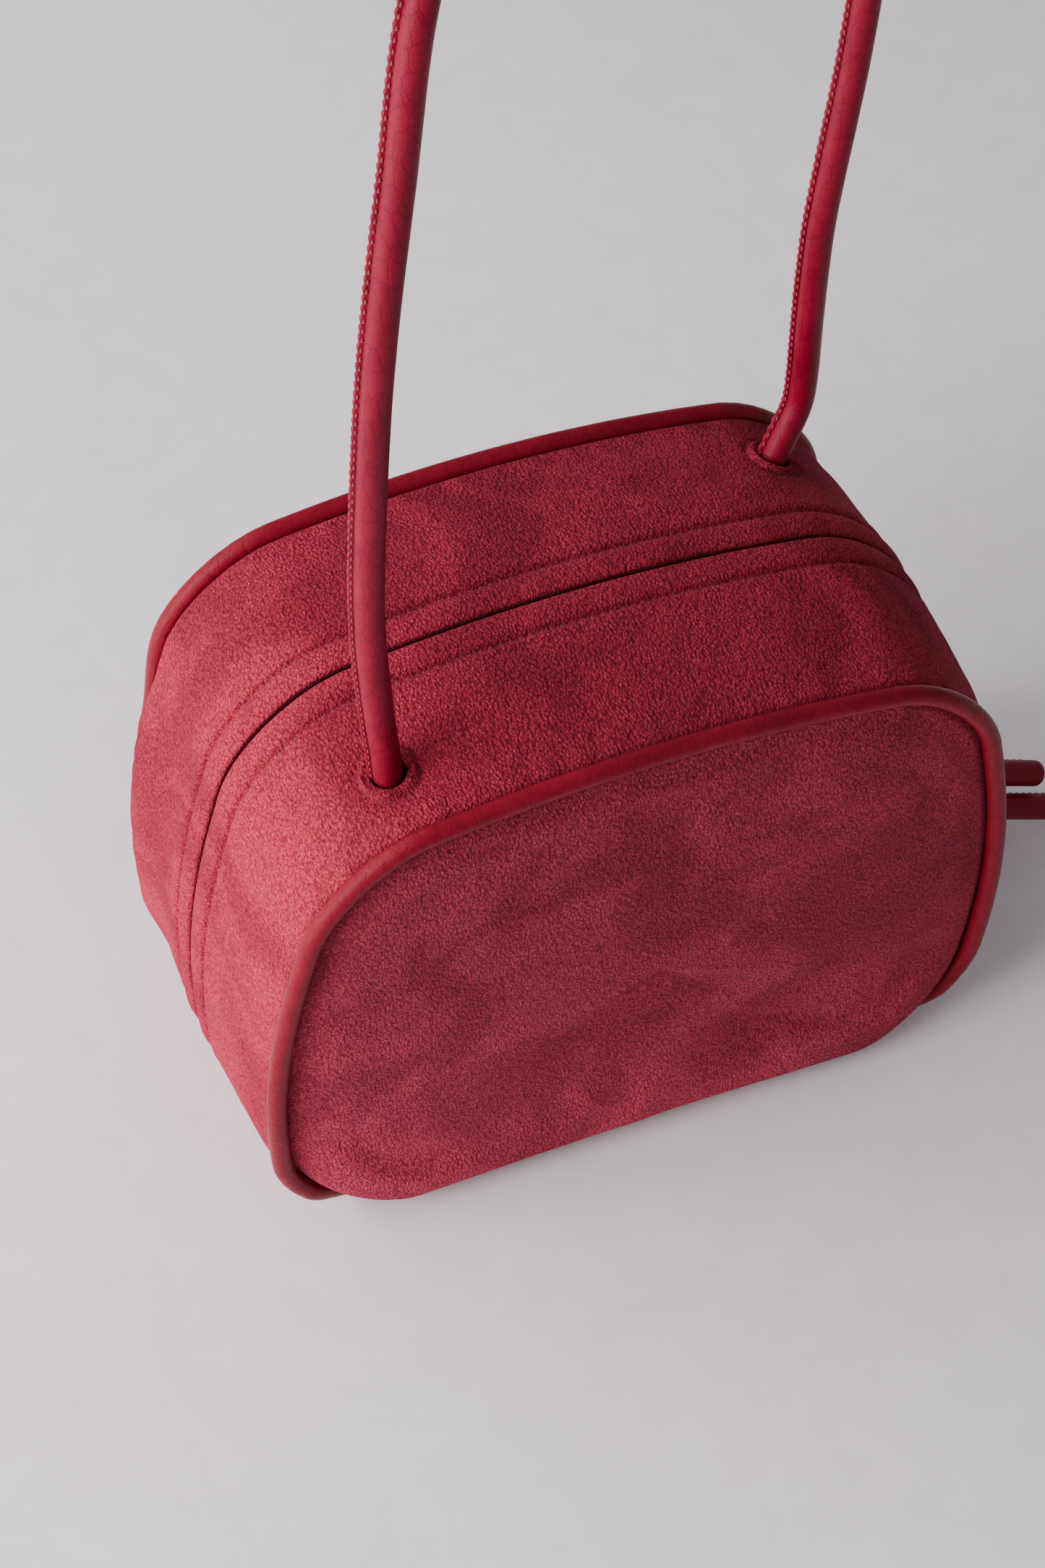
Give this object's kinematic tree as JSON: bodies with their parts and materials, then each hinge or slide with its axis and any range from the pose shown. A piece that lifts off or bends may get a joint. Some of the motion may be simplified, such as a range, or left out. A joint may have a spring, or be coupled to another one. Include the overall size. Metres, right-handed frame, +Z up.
{
  "type": "handbag",
  "caption": "Small structured zip-top bowling bag in suede, with piped front and back panels, a rolled leather shoulder strap and a doubled leather zip pull.",
  "frame": {"origin": "middle of the base panel's flat underside, where the bag stands", "axes": "+X along the bag towards the closed end of the zip, +Y towards the back panel, +Z up"},
  "size_m": [0.3092, 0.1344, 0.5138],
  "materials": {
    "suede": "brushed suede, matt, with nap marks",
    "smooth_leather": "smooth calf leather, satin",
    "backing_leather": "smooth leather, matt",
    "lining_fabric": "plain woven cotton twill",
    "foam": "open foam padding",
    "stiffener_board": "fibre board, matt",
    "rope_core": "twisted cotton cord",
    "zip_tape": "woven tape",
    "zip_coil": "moulded nylon coil, satin",
    "zip_metal": "polished, pale gold"
  },
  "bodies": {
    "bag": {"back_foam": "foam", "back_gusset": "suede", "back_gusset_lining": "lining_fabric", "back_lining": "lining_fabric", "back_panel": "suede", "back_piping": "smooth_leather", "back_piping_core": "rope_core", "back_stiffener": "stiffener_board", "back_strap_backing": "backing_leather", "back_strap_knot": "backing_leather", "back_strap_root": "smooth_leather", "back_zip_tape": "zip_tape", "base_board": "stiffener_board", "base_lining": "lining_fabric", "base_panel": "suede", "front_foam": "foam", "front_gusset": "suede", "front_gusset_lining": "lining_fabric", "front_lining": "lining_fabric", "front_panel": "suede", "front_piping": "smooth_leather", "front_piping_core": "rope_core", "front_stiffener": "stiffener_board", "front_strap_backing": "backing_leather", "front_strap_knot": "backing_leather", "front_strap_root": "smooth_leather", "front_zip_tape": "zip_tape", "slip_pocket": "lining_fabric", "zip_closed_end_stop": "zip_metal", "zip_coil": "zip_coil", "zip_open_end_stop": "zip_metal"},
    "slider": {"slider_body": "zip_metal", "slider_under_plate": "zip_metal"},
    "pull": {"pull_ring": "zip_metal", "pull_cord": "smooth_leather"},
    "strap": {"strap_leather": "smooth_leather", "strap_core": "rope_core"}
  },
  "joints": [
    {"name": "slider_slide", "type": "slide", "parent": "bag", "child": "slider", "axis": [0, 0, 1], "range_m": [0, 0.048]},
    {"name": "pull_swing", "type": "hinge", "parent": "slider", "child": "pull", "pos_m": [0.1245, 0, 0.037], "axis": [0, -1, 0], "range_deg": [0, 75]},
    {"name": "strap_swing", "type": "hinge", "parent": "bag", "child": "strap", "pos_m": [0.003, 0, 0.1835], "axis": [0.8981, 0.4397, 0], "range_deg": [-65, 65]}
  ]
}
